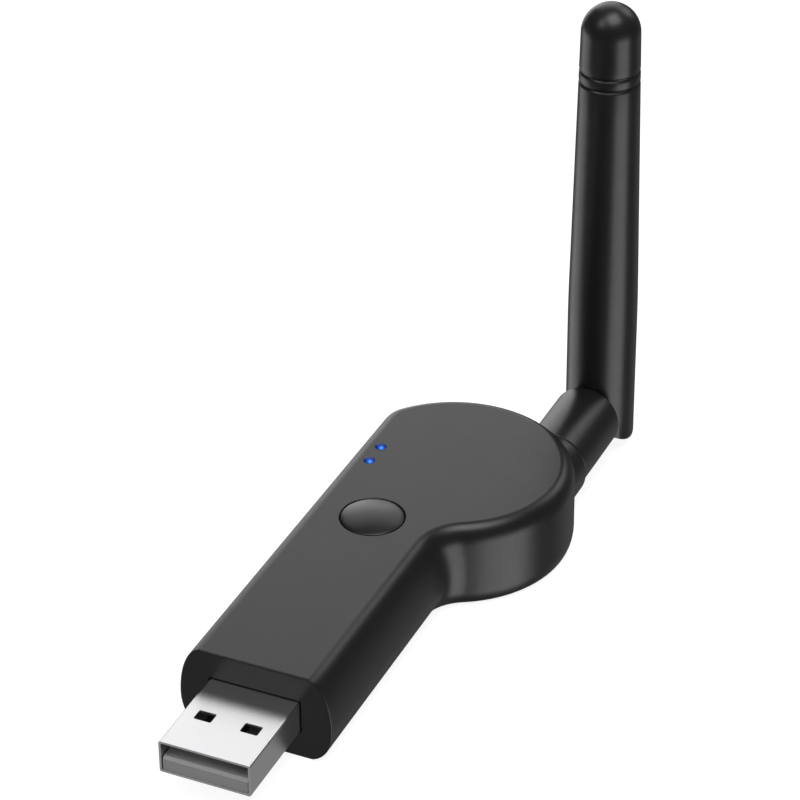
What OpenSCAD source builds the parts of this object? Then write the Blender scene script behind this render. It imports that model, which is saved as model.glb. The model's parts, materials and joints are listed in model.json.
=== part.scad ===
// USB Wi-Fi adapter with a fold-up swivel antenna.
// Frame: origin at the centre of the USB plug in the plane of the housing's front
// face, +Y into the body (the plug points to -Y), +Z up. Millimetres.

/* [Body] */
// Width of the bar behind the plug
body_w = 20.3; // [20:0.1:21]
// Thickness of the body
body_h = 12; // [11.5:0.5:14]
// How far the bar's rounded sides are cut in at the roof
side_crown = 3.1; // [2.8:0.1:3.3]
// How far the pad's rounded side is cut in at the roof
pad_crown = 2; // [1.6:0.1:2.3]
// Radius of the round pad
disc_r = 15.9; // [15.8:0.1:16.3]
// Centre of the round pad across the body
disc_x = 4.3; // [4.1:0.1:4.6]
// Centre of the round pad along the body
disc_y = 49.8; // [49.5:0.1:50.2]
// Radius of the hollow corner where the bar meets the pad
neck_r = 4.5; // [3.5:0.5:5.5]
// Radius of the rounded back left corner
corner_r = 5.2; // [5.2:0.1:5.8]
// Wall thickness of the roof and floor
wall = 1.3; // [1:0.1:1.4]

/* [Plug] */
// Width of the plug shell
plug_w = 12; // [12:0.1:12.1]
// Height of the plug shell
plug_h = 4.5; // [4.5:0.1:4.6]
// Length of the plug outside the housing
plug_l = 13.2; // [11.8:0.1:19]
// Thickness of the shell's sheet steel
sheet = 0.3; // [0.25:0.05:0.35]

/* [Button and lights] */
// Centre of the button along the body
button_y = 33.9; // [32:0.1:35]
// Radius of the button's hole
button_hole_r = 4.2; // [3.5:0.1:4.5]
// Travel of the button
button_travel = 0.3; // [0.2:0.05:0.3]
// Centre line of the two lights across the body
light_x = -5.8; // [-6:0.1:-5.6]
// Radius of a light
light_r = 0.75; // [0.6:0.05:0.9]

/* [Antenna] */
// Swivel axis of the antenna across the body
swivel_x = 13.1; // [12.8:0.1:13.4]
// Where the swivel barrel meets the housing's collar
seam_y = 62.7; // [62.4:0.1:63]
// Radius of the swivel barrel
barrel_r = 4.65; // [4.5:0.05:4.7]
// Length of the barrel from the seam to its shoulder
barrel_l = 12.8; // [10:0.1:16]
// Radius of the whip at its foot
whip_r = 4.7; // [4.6:0.05:4.8]
// Radius of the whip at its tip
tip_r = 3.9; // [3.5:0.05:4.2]
// Length of the whip from the hinge pin to its tip
whip_l = 59.7; // [55:0.1:90]

/* [Hidden] */

// Fineness of the curves
$fn = 96;
crown_steps = 8;
eps = 0.01;

half_w = body_w / 2;
half_h = body_h / 2;
disc_c = [disc_x, disc_y];
far = 60;

// Rounded sides: the level where the body is widest, and how far they are cut in at the floor
widest_z = -1.1;
floor_crown = 3.2;
pad_floor_crown = 1.3;
pad_round_h = 2.6;

// Centre of the hollow neck arc, tangent to the bar's right side and to the pad. The pad is
// moved inwards by this much more than the bar.
function neck_centre(more = 0) = [
    half_w + neck_r,
    disc_y - sqrt(pow(disc_r + neck_r - more, 2) - pow(half_w + neck_r - disc_x, 2))
];
// Centre of the back left corner arc, tangent to the left side and inside the pad
function corner_centre(more = 0) = [
    -half_w + corner_r,
    disc_y + sqrt(pow(disc_r - corner_r - more, 2) - pow(corner_r - half_w - disc_x, 2))
];
neck_c = neck_centre();
corner_c = corner_centre();
corner_dir = (corner_c - disc_c) / norm(corner_c - disc_c);

// Inside of the housing
roof_z = half_h - wall;
cavity_inset = 2.4;
front_wall = 1.4;

// Point in the floor and roof from which the whole outline is in sight
fan_y = button_y + 4;

// Bottom cover: a plate let into the floor, on a step, with a plug inside it
cover_inset = 3.5;
cover_plate_h = 0.6;
lip_inset = 4.3;
cover_gap = 0.1;

// Circuit board
board_top = -0.25;
board_h = 1;
board_inset = 4.45;
board_front = 5.3;

// Button and switch
button_r = button_hole_r - 0.13;
button_crown = 0.6;
button_top = half_h + button_crown;
button_flange_r = button_r + 0.9;
flange_z = roof_z - 0.1;
flange_h = 0.7;
switch_w = 6;
switch_h = 3.5;
plunger_r = 1.75;
plunger_top = board_top + switch_h + 2 * button_travel;
plunger_l = 1.2;

// Lights
light_ys = [button_y + 11.7, button_y + 15.25];
light_gap = 0.03;

// Antenna joints
shoulder_y = seam_y + barrel_l;
pin_gap = whip_r + 0.1;
pin_y = shoulder_y + pin_gap;
collar_r = barrel_r + 0.35;
journal_r = 3.2;
journal_gap = 0.05;
journal_end_y = 58;
clip_y = 58.6;
clip_h = 0.6;
pocket_y = 59.3;
pocket_r = 4.2;
seam_gap = 0.12;
ring_h = 0.8;
ring_r = 4;
pin_r = 1;
coax_r = 0.57;
coax_bore_r = 0.9;
tongue_half = 2.85;
tongue_rise = 1.2;
slot_half = 3.4;
slot_rise = 2.6;

// Whip heights above the hinge pin
knee_z = 16.2;
dome_z = whip_l - tip_r;
tip_seam_z = 49;
groove_z = tip_seam_z + 1.6;
groove_w = 0.75;
groove_depth = 0.2;
whip_bore_r = 2.6;
whip_bore_z = 9;

// Steps up the rounded side, from -90 at the floor to 90 at the roof
function crown_angles() = [for (i = [-crown_steps:crown_steps]) 90 * i / crown_steps];
// Radius of the whip's outside at height z above the hinge pin
function whip_radius(z) =
    z < knee_z ? whip_r : whip_r + (tip_r - whip_r) * (z - knee_z) / (dome_z - knee_z);

// ---- Outline of the body, seen from above, moved inwards by d ----

module back_corner_sector() {
    polygon([
        corner_c,
        corner_c + [-far, 0],
        corner_c + [-far, far],
        corner_c + far * corner_dir
    ]);
}

module plan(d, front = 0) {
    translate([-half_w + d, front]) square([body_w - 2 * d, neck_c.y - front]);
    translate([-half_w + d, front]) square([half_w + disc_x - d, corner_c.y - front]);
    difference() {
        intersection() {
            translate(disc_c) circle(disc_r - d);
            translate([-half_w + d, 0]) square([far, 2 * far]);
        }
        back_corner_sector();
    }
    translate(corner_c) circle(corner_r - d);
    difference() {
        polygon([[disc_x, neck_c.y - eps], neck_c - [0, eps], disc_c]);
        translate(neck_c) circle(neck_r + d);
    }
}

// ---- Outer form of the body, with crowned sides all round ----

function arc_points(c, r, from, to, steps) =
    [for (i = [0:steps]) let (a = from + (to - from) * i / steps) c + r * [cos(a), sin(a)]];

// The outline as one ring of points, with the bar moved inwards by d and the pad by pad_d
function ring_points(d, pad_d) =
    let (neck = neck_centre(pad_d - d),
         back = corner_centre(pad_d - d),
         neck_dir = atan2(neck.y - disc_y, neck.x - disc_x),
         back_dir = atan2(back.y - disc_y, back.x - disc_x))
    concat(
        [[half_w - d, 0]],
        arc_points(neck, neck_r + d, 180, neck_dir + 180, 8),
        arc_points(disc_c, disc_r - pad_d, neck_dir, back_dir, 40),
        arc_points(back, corner_r - d, back_dir + 1, 180, 8),
        [[-half_w + d, 0]]
    );

// How far a rounded edge of this depth and height is cut in, at a distance up into it
function cut_in(depth, h, up) = up <= 0 ? 0 : depth * (1 - sqrt(max(0, 1 - pow(up / h, 2))));

// One ring of the rounded side. The bar's side is a quarter ellipse up to the roof and one down
// to the floor; the pad has an upright wall with rounded edges.
function level_ring(t) =
    let (rise = t > 0 ? half_h - widest_z : half_h + widest_z,
         z = widest_z + rise * sin(t),
         bar_cut = (t > 0 ? side_crown : floor_crown) * (1 - cos(t)),
         pad_cut = cut_in(t > 0 ? pad_crown : pad_floor_crown, pad_round_h,
                          abs(z) - half_h + pad_round_h))
    [for (p = ring_points(bar_cut, pad_cut)) [p.x, p.y, z]];

module tall(h = body_h) {
    translate([0, 0, -h / 2]) linear_extrude(h) children();
}

// Rings stacked from the floor to the roof, each closed end a fan about one point
module body_form() {
    rings = [for (t = crown_angles()) level_ring(t)];
    n = len(rings[0]);
    levels = len(rings);
    floor_hub = n * levels;
    roof_hub = floor_hub + 1;
    walls = [for (i = [0:levels - 2], k = [0:n - 1])
        let (k2 = (k + 1) % n) [i * n + k, (i + 1) * n + k, (i + 1) * n + k2, i * n + k2]];
    polyhedron(
        concat([for (ring = rings, p = ring) p], [[0, fan_y, -half_h], [0, fan_y, half_h]]),
        concat(
            [for (k = [0:n - 1]) [floor_hub, k, (k + 1) % n]],
            walls,
            [for (k = [0:n - 1]) [roof_hub, (levels - 1) * n + (k + 1) % n, (levels - 1) * n + k]]
        )
    );
}

// Cylinder along Y on the swivel axis
module on_swivel(r, y_from, y_to) {
    translate([swivel_x, y_to, 0]) rotate([90, 0, 0]) cylinder(r = r, h = y_to - y_from);
}

// ---- Body pieces ----

board_posts = [[-4.4, 13], [4.4, 13], [-4.4, 27], [4.4, 27], [11.5, 42.5], [-2.5, 57.8]];

module housing() color("#2b2b2d") {
    difference() {
        union() {
            body_form();
            collar();
        }
        tall(2 * roof_z) plan(cavity_inset, front_wall);
        translate([0, 0, -half_h - 1]) linear_extrude(1 + cover_plate_h) plan(cover_inset - cover_gap, 2);
        translate([0, 0, -half_h]) linear_extrude(half_h) plan(lip_inset - cover_gap, 2.8);
        plug_slot();
        translate([0, button_y, 0]) cylinder(r = button_hole_r, h = far);
        for (y = light_ys) translate([light_x, y, 0]) cylinder(r = light_r + light_gap, h = far);
        on_swivel(journal_r + journal_gap, seam_y - 10, far + 10);
        on_swivel(pocket_r, pocket_y - 5, pocket_y);
        on_swivel(ring_r, seam_y - ring_h, seam_y + eps);
        on_swivel(barrel_r + 0.3, seam_y, seam_y + 10);
    }
    for (p = board_posts) translate([p.x, p.y, board_top])
        cylinder(r = 0.7, h = roof_z - board_top + 0.2, $fn = 24);
}

// Socket for the barrel, standing out of the pad's back wall
module collar() {
    round_r = 0.6;
    translate([swivel_x, seam_y, 0]) rotate([90, 0, 0]) rotate_extrude() polygon(concat(
        [[0, 0]],
        [for (t = [0:15:90]) [collar_r - round_r + round_r * sin(t), round_r - round_r * cos(t)]],
        [[collar_r, 9], [0, 9]]
    ));
}

module plug_slot() {
    clearance = 0.16;
    translate([0, front_wall + 1, 0]) rotate([90, 0, 0]) linear_extrude(front_wall + 2)
        rounded_rect(plug_w + 2 * clearance, plug_h + 2 * clearance, shell_corner_r + clearance);
}

module bottom_cover() color("#29292b") {
    translate([0, 0, -half_h]) linear_extrude(cover_plate_h - 0.05) plan(cover_inset, 2.1);
    difference() {
        translate([0, 0, -half_h + 0.3]) linear_extrude(wall + 0.2) plan(lip_inset, 2.9);
        translate([0, 0, -half_h + wall - 0.1]) linear_extrude(wall + 1) plan(lip_inset + 0.8, 3.7);
    }
    rest_h = board_top - board_h + half_h;
    for (p = board_posts) translate([p.x, p.y, -half_h + 0.3])
        cylinder(r = 0.8, h = rest_h - 0.3, $fn = 24);
}

// ---- USB plug ----

module rounded_rect(w, h, r) {
    square([w - 2 * r, h], center = true);
    square([w, h - 2 * r], center = true);
    for (x = [-1, 1], y = [-1, 1])
        translate([x * (w / 2 - r), y * (h / 2 - r)]) circle(r, $fn = 48);
}

shell_back_y = 5;
shell_corner_r = 0.4;
latch_x = 3.05;
latch_y = -6.9;
latch_w = 2.3;
latch_l = 1.75;
leg_l = 2.4;
leg_z = -1.6;
leg_h = 2.2;

module usb_shell() color("#c9c9cc") {
    difference() {
        translate([0, shell_back_y, 0]) rotate([90, 0, 0]) linear_extrude(plug_l + shell_back_y)
            difference() {
                rounded_rect(plug_w, plug_h, shell_corner_r);
                rounded_rect(plug_w - 2 * sheet, plug_h - 2 * sheet, shell_corner_r - 0.25);
            }
        for (x = [-latch_x, latch_x]) translate([x - latch_w / 2, latch_y - latch_l / 2, -plug_h])
            cube([latch_w, latch_l, 2 * plug_h]);
    }
    // Solder legs beside the board
    for (x = [-plug_w / 2, plug_w / 2 - sheet])
        translate([x, shell_back_y - eps, leg_z]) cube([sheet, leg_l, leg_h]);
}

tongue_top = 0;
tongue_front_y = -plug_l + 0.1;
tongue_w = plug_w - 2 * sheet - 0.24;
tongue_block_y = 0.8;
lead_in = 0.35;
contact_h = 0.2;
contact_w = 1;
contact_xs = [-3.5, -1, 1, 3.5];
contact_foot_y = 5.6;
contact_foot_l = 2;
outer_contact_start = 2.9;
inner_contact_start = 3.9;

module usb_tongue() color("#d8d8d6") {
    floor_z = -plug_h / 2 + sheet;
    back_y = shell_back_y - 0.1;
    difference() {
        union() {
            translate([-tongue_w / 2, tongue_front_y, floor_z])
                cube([tongue_w, back_y - tongue_front_y, tongue_top - floor_z]);
            translate([-tongue_w / 2, tongue_block_y, floor_z])
                cube([tongue_w, back_y - tongue_block_y, -2 * floor_z]);
        }
        for (x = contact_xs) translate([x - contact_w / 2, tongue_block_y - 1, tongue_top])
            cube([contact_w, 10, contact_h]);
        // Sloped lead-in along the front upper edge
        translate([-plug_w / 2, tongue_front_y, tongue_top - lead_in]) rotate([45, 0, 0])
            cube([plug_w, 2, 2]);
    }
}

// Each contact runs back over the tongue, steps down to the board and ends in a solder foot
module usb_contacts() color("#c6c7c9") {
    for (x = contact_xs) translate([x - contact_w / 2, 0, 0]) {
        y_from = tongue_front_y + (abs(x) < 2 ? inner_contact_start : outer_contact_start);
        translate([0, y_from, tongue_top])
            cube([contact_w, contact_foot_y + contact_h - y_from, contact_h]);
        translate([0, contact_foot_y, board_top])
            cube([contact_w, contact_h, tongue_top - board_top + eps]);
        translate([0, contact_foot_y, board_top])
            cube([contact_w, contact_foot_l, contact_h]);
    }
}

// ---- Button, lights and board ----

module button_cap() color("#242426") {
    dome_r = (pow(button_r, 2) + pow(button_crown, 2)) / (2 * button_crown);
    translate([0, button_y, 0]) {
        intersection() {
            cylinder(r = button_r, h = far);
            translate([0, 0, button_top - dome_r]) sphere(dome_r, $fn = 180);
            translate([-far, -far, flange_z - flange_h]) cube(2 * far);
        }
        translate([0, 0, flange_z - flange_h]) cylinder(r = button_flange_r, h = flange_h);
        translate([0, 0, plunger_top]) cylinder(r = 1.5, h = flange_z - flange_h - plunger_top + eps);
    }
}

module light_pipe() color("#2f63ff") {
    foot_z = 0.6;
    foot_r = light_r + 0.45;
    foot_top = roof_z - 0.02;
    dome_r = 1.46;
    dome_z = half_h - 1.25;
    bridge_w = 1;
    bridge_h = 0.8;
    for (y = light_ys) translate([light_x, y, 0]) {
        translate([0, 0, foot_z]) cylinder(r = foot_r, h = foot_top - foot_z, $fn = 48);
        translate([0, 0, roof_z - 0.1]) cylinder(r = light_r, h = wall + 0.1, $fn = 48);
        intersection() {
            translate([0, 0, dome_z]) sphere(dome_r, $fn = 64);
            translate([0, 0, half_h - eps]) cylinder(r = light_r, h = 1, $fn = 48);
        }
    }
    translate([light_x - bridge_w / 2, light_ys[0], foot_top - bridge_h])
        cube([bridge_w, light_ys[1] - light_ys[0], bridge_h]);
}

module circuit_board() color("#1f5c38") {
    plug_notch = [9, 5, 9];
    journal_notch_y = 55;
    difference() {
        translate([0, 0, board_top - board_h]) linear_extrude(board_h)
            plan(board_inset, board_front);
        // Notches beside the plug and round the antenna's journal
        for (x = [-1, 1]) translate([x * half_w, board_front, 0]) cube(plug_notch, center = true);
        translate([swivel_x - pocket_r - 0.5, journal_notch_y, -half_h]) cube(far);
    }
}

// Part of size s standing on the board with its middle at p
module on_board(p, s) {
    translate([p.x - s.x / 2, p.y - s.y / 2, board_top]) cube(s);
}

chip_p = [3, 50];

module wifi_chip() color("#1c1c1e") {
    on_board(chip_p, [6, 6, 0.85]);
}

module shield_can() color("#b9bbbd") {
    size = [11.4, 10.4, 1.9];
    difference() {
        on_board(chip_p, size);
        translate([0, 0, -eps]) on_board(chip_p, size - [0.4, 0.4, 0.2]);
    }
}

module crystal() color("#c7c8ca") {
    on_board([3, 41.6], [3.2, 2.5, 0.75]);
}

module regulator_chip() color("#1c1c1e") {
    on_board([0, 20.5], [2.9, 1.6, 1.1]);
}

module power_inductor() color("#3b3b3e") {
    on_board([0, 16.5], [3, 3, 1.2]);
}

module board_capacitors() color("#a98b62") {
    for (p = [[-3.2, 16.5], [3.2, 16.5], [-3.2, 20.5], [-1.8, 41.6], [7.5, 41.6]])
        on_board(p, [0.8, 1.6, 0.8]);
}

module board_resistors() color("#202022") {
    for (p = [[3.2, 20.5], [-3, 24], [-1, 24], [1, 24], [-4.2, 42.6], [9.4, 43.6]])
        on_board(p, [0.8, 1.6, 0.45]);
}

module status_leds() color("#f4f4ef") {
    for (y = light_ys) on_board([light_x + 0.75, y], [0.8, 1.6, 0.6]);
}

module switch_body() color("#b3b5b7") {
    difference() {
        on_board([0, button_y], [switch_w, switch_w, switch_h]);
        translate([0, button_y, board_top + switch_h - 1])
            cylinder(r = plunger_r + 0.05, h = 2);
    }
}

module switch_plunger() color("#39393b") {
    translate([0, button_y, plunger_top - plunger_l]) cylinder(r = plunger_r, h = plunger_l);
}

// ---- Coaxial lead ----

socket_p = [12, 50.6];
lead_z = board_top + 1.45;

module coax_socket() color("#d9b34a") {
    on_board(socket_p, [2.6, 2.6, 0.4]);
    translate([socket_p.x, socket_p.y, board_top]) cylinder(r = 0.9, h = 0.8, $fn = 32);
}

module coax_plug() color("#caa84e") {
    translate([socket_p.x, socket_p.y, board_top + 0.42]) difference() {
        cylinder(r = 1.25, h = 0.7, $fn = 32);
        translate([0, 0, -eps]) cylinder(r = 0.92, h = 0.5, $fn = 32);
    }
    translate([socket_p.x - 0.6, socket_p.y + 1, board_top + 0.85]) cube([1.2, 1.6, 1.15]);
}

// The lead's run from its plug into the swivel's bore
lead_route = [
    [12, 53.26, lead_z], [12.05, 53.8, lead_z - 0.05], [12.2, 54.4, lead_z - 0.15],
    [12.4, 55, lead_z - 0.35], [12.7, 55.7, lead_z - 0.6], [12.95, 56.4, lead_z - 0.85],
    [13.1, 57.1, lead_z - 1.1], [13.1, 57.8, 0], [13.1, 58.8, 0]
];

// Tube with 8 sides along a list of points
module tube_along(points, r) {
    n = len(points);
    sides = 8;
    rings = [for (i = [0:n - 1])
        let (d = points[min(i + 1, n - 1)] - points[max(i - 1, 0)],
             u = d / norm(d),
             a = cross(u, [1, 0, 0]),
             v = a / norm(a),
             w = cross(u, v))
        for (k = [0:sides - 1]) points[i] + r * (cos(360 * k / sides) * v + sin(360 * k / sides) * w)];
    walls = [for (i = [0:n - 2], k = [0:sides - 1])
        let (k2 = (k + 1) % sides)
        [i * sides + k, i * sides + k2, (i + 1) * sides + k2, (i + 1) * sides + k]];
    polyhedron(rings, concat(
        [[for (k = [sides - 1:-1:0]) k]],
        walls,
        [[for (k = [0:sides - 1]) (n - 1) * sides + k]]
    ));
}

module coax_lead() color("#222224") {
    tube_along(lead_route, coax_r);
}

module coax_in_barrel() color("#222224") {
    on_swivel(coax_r, 59, pin_y - pin_r - 1);
}

module coax_in_whip() color("#222224") {
    translate([swivel_x, pin_y, pin_r + 3.9]) cylinder(r = coax_r, h = 8, $fn = 32);
}

// ---- Antenna swivel ----

// Solid of revolution about the swivel axis, from (radius, y) points
module turned_on_swivel(points) {
    translate([swivel_x, 0, 0]) rotate([-90, 0, 0]) rotate_extrude() polygon(points);
}

// Section of the tongue or of its slot: a slab with rounded top and bottom
module racetrack(half, rise) {
    square([2 * half, 2 * rise], center = true);
    for (z = [-rise, rise]) translate([0, z]) circle(half, $fn = 72);
}

module hinge_tongue() {
    translate([swivel_x, pin_y, 0]) {
        rotate([90, 0, 0]) linear_extrude(pin_gap + 1) racetrack(tongue_half, tongue_rise);
        rotate([0, 90, 0]) rotate_extrude() intersection() {
            translate([0, -far]) square([far, 2 * far]);
            rotate([0, 0, 90]) racetrack(tongue_half, tongue_rise);
        }
    }
}

module antenna_barrel() color("#2b2b2d") {
    chamfer = 0.2;
    edge_r = 0.4;
    difference() {
        union() {
            turned_on_swivel(concat(
                [[0, journal_end_y], [journal_r, journal_end_y], [journal_r, seam_y + seam_gap]],
                [[barrel_r - chamfer, seam_y + seam_gap], [barrel_r, seam_y + seam_gap + chamfer]],
                [for (t = [0:15:90])
                    [barrel_r - edge_r + edge_r * cos(t), shoulder_y - edge_r + edge_r * sin(t)]],
                [[0, shoulder_y]]
            ));
            hinge_tongue();
        }
        // Groove for the retaining clip
        difference() {
            on_swivel(journal_r + 1, clip_y, clip_y + clip_h);
            on_swivel(2.7, clip_y - 1, clip_y + 2);
        }
        on_swivel(coax_bore_r, journal_end_y - 1, pin_y - pin_r - 0.5);
        // Slot that lets the lead pass over the pin
        translate([swivel_x - coax_bore_r, pin_y - pin_r - 1.4, 0])
            cube([2 * coax_bore_r, pin_r + 6, 9]);
        translate([swivel_x - far, pin_y, 0]) rotate([0, 90, 0])
            cylinder(r = pin_r + 0.04, h = 2 * far);
    }
}

module friction_ring() color("#6d6d70") {
    difference() {
        on_swivel(ring_r - 0.03, seam_y - ring_h + 0.02, seam_y - 0.02);
        on_swivel(journal_r + 0.04, seam_y - 2, seam_y + 1);
    }
}

module retaining_clip() color("#a9abad") {
    difference() {
        on_swivel(pocket_r - 0.3, clip_y + 0.03, clip_y + clip_h - 0.03);
        on_swivel(2.75, clip_y - 1, clip_y + 2);
        translate([swivel_x, clip_y, -5]) cube([3.4, 4, 5.2], center = true);
    }
}

// ---- Whip ----

module at_pin() {
    translate([swivel_x, pin_y, 0]) children();
}

// Outside of the whip between two heights
module whip_turned(z_from, z_to) {
    rotate_extrude() polygon(concat(
        [[0, z_from]],
        z_from < knee_z ? [[whip_r, z_from], [whip_r, knee_z]] : [[whip_radius(z_from), z_from]],
        [[whip_radius(z_to), z_to], [0, z_to]]
    ));
}

module ring_groove(z) {
    translate([0, 0, z]) rotate_extrude()
        translate([whip_radius(z) + 0.02, 0]) scale([groove_depth, groove_w / 2]) circle(1, $fn = 24);
}

module antenna_sleeve() color("#2b2b2d") at_pin() {
    difference() {
        intersection() {
            whip_turned(-whip_r, tip_seam_z);
            union() {
                rotate([0, 90, 0]) translate([0, 0, -far]) cylinder(r = whip_r, h = 2 * far);
                translate([-far, -far, 0]) cube(2 * far);
            }
        }
        // Fork slot, open below
        rotate([90, 0, 0]) translate([0, 0, -far]) linear_extrude(2 * far) {
            translate([0, slot_rise]) circle(slot_half, $fn = 72);
            translate([-slot_half, slot_rise - far]) square([2 * slot_half, far]);
        }
        cylinder(r = coax_bore_r, h = far);
        translate([0, 0, whip_bore_z]) cylinder(r = whip_bore_r, h = far);
        translate([-far, 0, 0]) rotate([0, 90, 0]) cylinder(r = pin_r, h = far + whip_r - 0.8);
        ring_groove(tip_seam_z);
    }
}

module antenna_tip() color("#2b2b2d") at_pin() {
    difference() {
        union() {
            whip_turned(tip_seam_z + 0.02, dome_z);
            translate([0, 0, dome_z]) intersection() {
                sphere(tip_r);
                translate([0, 0, far / 2 - eps]) cube(far, center = true);
            }
            translate([0, 0, tip_seam_z - 4]) cylinder(r = whip_bore_r - 0.03, h = 5);
        }
        ring_groove(tip_seam_z);
        ring_groove(groove_z);
    }
}

module hinge_pin() color("#b4b6b8") at_pin() {
    pin_l = 2 * whip_r - 1.8;
    translate([-pin_l / 2, 0, 0]) rotate([0, 90, 0]) cylinder(r = pin_r - 0.01, h = pin_l);
}

module pin_washers() color("#8e9092") at_pin() {
    side_gap = 0.025;
    thickness = slot_half - tongue_half - 2 * side_gap;
    washer_r = 2.1;
    for (x = [-1, 1])
        translate([x * (tongue_half + side_gap) + (x < 0 ? -thickness : 0), 0, 0]) rotate([0, 90, 0])
            difference() {
                cylinder(r = washer_r, h = thickness);
                translate([0, 0, -1]) cylinder(r = pin_r + 0.03, h = 3);
            }
}

module radiator_tube() color("#c9a24c") at_pin() {
    difference() {
        translate([0, 0, 12.5]) cylinder(r = 2.2, h = 18);
        translate([0, 0, 12]) cylinder(r = 1.9, h = 40);
    }
}

// Loading coil: a wire helix with straight ends
module radiator_coil() color("#b87a45") at_pin() {
    turns = 6;
    pitch = 1.5;
    coil_r = 1.6;
    foot_z = 13.2;
    coil_z = 32;
    steps = 12;
    coil = [for (i = [0:turns * steps])
        [coil_r * cos(360 * i / steps), coil_r * sin(360 * i / steps), coil_z + pitch * i / steps]];
    tube_along(concat(
        [[0, 0, foot_z], [0, 0, coil_z - 3], [0.1, 0, coil_z - 1.8], [0.9, 0, coil_z - 0.9]],
        coil
    ), 0.3);
}

housing();
bottom_cover();
button_cap();
light_pipe();
usb_shell();
usb_tongue();
usb_contacts();
circuit_board();
wifi_chip();
shield_can();
crystal();
regulator_chip();
power_inductor();
board_capacitors();
board_resistors();
status_leds();
switch_body();
switch_plunger();
coax_socket();
coax_plug();
coax_lead();
antenna_barrel();
friction_ring();
retaining_clip();
coax_in_barrel();
antenna_sleeve();
antenna_tip();
hinge_pin();
pin_washers();
coax_in_whip();
radiator_tube();
radiator_coil();
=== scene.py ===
"""USB Wi-Fi adapter: the looks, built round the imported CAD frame.

Shapes are modelled in millimetres in the CAD frame and scaled to metres at the end.
"""

import json
import math

import bmesh
import bpy
from mathutils import Matrix, Vector


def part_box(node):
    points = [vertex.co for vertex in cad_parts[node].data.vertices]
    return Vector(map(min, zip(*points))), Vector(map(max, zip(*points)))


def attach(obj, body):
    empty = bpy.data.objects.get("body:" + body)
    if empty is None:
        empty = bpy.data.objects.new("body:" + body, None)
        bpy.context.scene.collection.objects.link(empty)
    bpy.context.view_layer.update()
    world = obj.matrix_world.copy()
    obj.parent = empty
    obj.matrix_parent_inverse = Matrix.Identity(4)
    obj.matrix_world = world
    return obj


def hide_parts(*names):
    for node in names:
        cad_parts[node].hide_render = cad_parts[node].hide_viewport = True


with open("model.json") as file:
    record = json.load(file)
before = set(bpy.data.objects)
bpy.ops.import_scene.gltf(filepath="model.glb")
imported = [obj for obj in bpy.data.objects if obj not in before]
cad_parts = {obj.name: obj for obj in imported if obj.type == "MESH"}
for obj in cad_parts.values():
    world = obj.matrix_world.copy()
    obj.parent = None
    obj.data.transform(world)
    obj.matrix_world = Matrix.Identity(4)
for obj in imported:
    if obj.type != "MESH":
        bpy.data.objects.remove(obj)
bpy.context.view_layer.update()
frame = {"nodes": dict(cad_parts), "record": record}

MM = 0.001


def box_mm(node):
    """Low and high corners of a CAD node's box, in millimetres."""
    low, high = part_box(node)
    return low / MM, high / MM


# ---- Sizes, from the frame where it gives them ----

HOUSING_LO, HOUSING_HI = box_mm("housing")
SHELL_LO, SHELL_HI = box_mm("usb_shell")
CAP_LO, CAP_HI = box_mm("button_cap")
BARREL_LO, BARREL_HI = box_mm("antenna_barrel")
SLEEVE_LO, SLEEVE_HI = box_mm("antenna_sleeve")
TIP_HI = box_mm("antenna_tip")[1]
PIPE_LO, PIPE_HI = box_mm("light_pipe")
PIN_LO, PIN_HI = box_mm("hinge_pin")

HALF_W = -HOUSING_LO.x
HALF_H = HOUSING_HI.z
DISC_X = 4.3
DISC_R = HOUSING_HI.x - DISC_X
DISC_Y = HOUSING_HI.y - DISC_R
# Level where the body is widest, and the insets of the bar and the pad at roof and floor
WIDEST_Z = -1.1
ROOF_INSETS = (3.1, 2.0)
FLOOR_INSETS = (3.2, 1.3)
# Height of the rounds along the pad's edges, and radii of the neck and the back left corner
PAD_ROUND_H = 2.6
NECK_R = 4.5
CORNER_R = 5.2
WALL = 1.3
ROOF_Z = HALF_H - WALL
FRONT_WALL = 1.4
CAVITY_INSET = 2.4
# Bottom cover: insets of its plate and lip, their fronts, and the plate's thickness and gap
COVER_INSET = 3.5
LIP_INSET = 4.3
COVER_FRONT = 2.1
LIP_FRONT = 2.9
LIP_WALL = 0.8
COVER_PLATE_H = 0.6
COVER_GAP = 0.1
FRONT_EDGE_R = 0.18
# How far a tool reaches past what it cuts or joins
PAST = 1

BUTTON_Y = (CAP_LO.y + CAP_HI.y) / 2
BUTTON_HOLE_R = 4.2
BUTTON_GAP = 0.13
BUTTON_R = BUTTON_HOLE_R - BUTTON_GAP

LIGHT_X = (PIPE_LO.x + PIPE_HI.x) / 2
LIGHT_R = 0.75
LIGHT_FOOT_R = (PIPE_HI.x - PIPE_LO.x) / 2
LIGHT_YS = (PIPE_LO.y + LIGHT_FOOT_R, PIPE_HI.y - LIGHT_FOOT_R)

SWIVEL_X = (BARREL_LO.x + BARREL_HI.x) / 2
BARREL_R = BARREL_HI.z
# End of the housing's collar, and the seam between it and the barrel
SEAM_Y = 62.7
SEAM_GAP = 0.18
PIN_Y = (PIN_LO.y + PIN_HI.y) / 2
PIN_R = 1.0
WHIP_R = -SLEEVE_LO.z
# From the hinge pin to the barrel's shoulder
PIN_GAP = WHIP_R + 0.1
SHOULDER_Y = PIN_Y - PIN_GAP
COLLAR_R = BARREL_R + 0.35
JOURNAL_R = 3.2
# The whip is straight up to its knee and tapers from there to the dome; heights from the pin
TIP_R = 3.9
KNEE_Z = 16.2
DOME_Z = TIP_HI.z - TIP_R
TIP_SEAM_Z = SLEEVE_HI.z
GROOVE_Z = TIP_SEAM_Z + 1.6
GROOVE_W = 0.75
GROOVE_DEPTH = 0.2
WHIP_BORE_R = 2.6
WHIP_BORE_Z = 9.0
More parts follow.
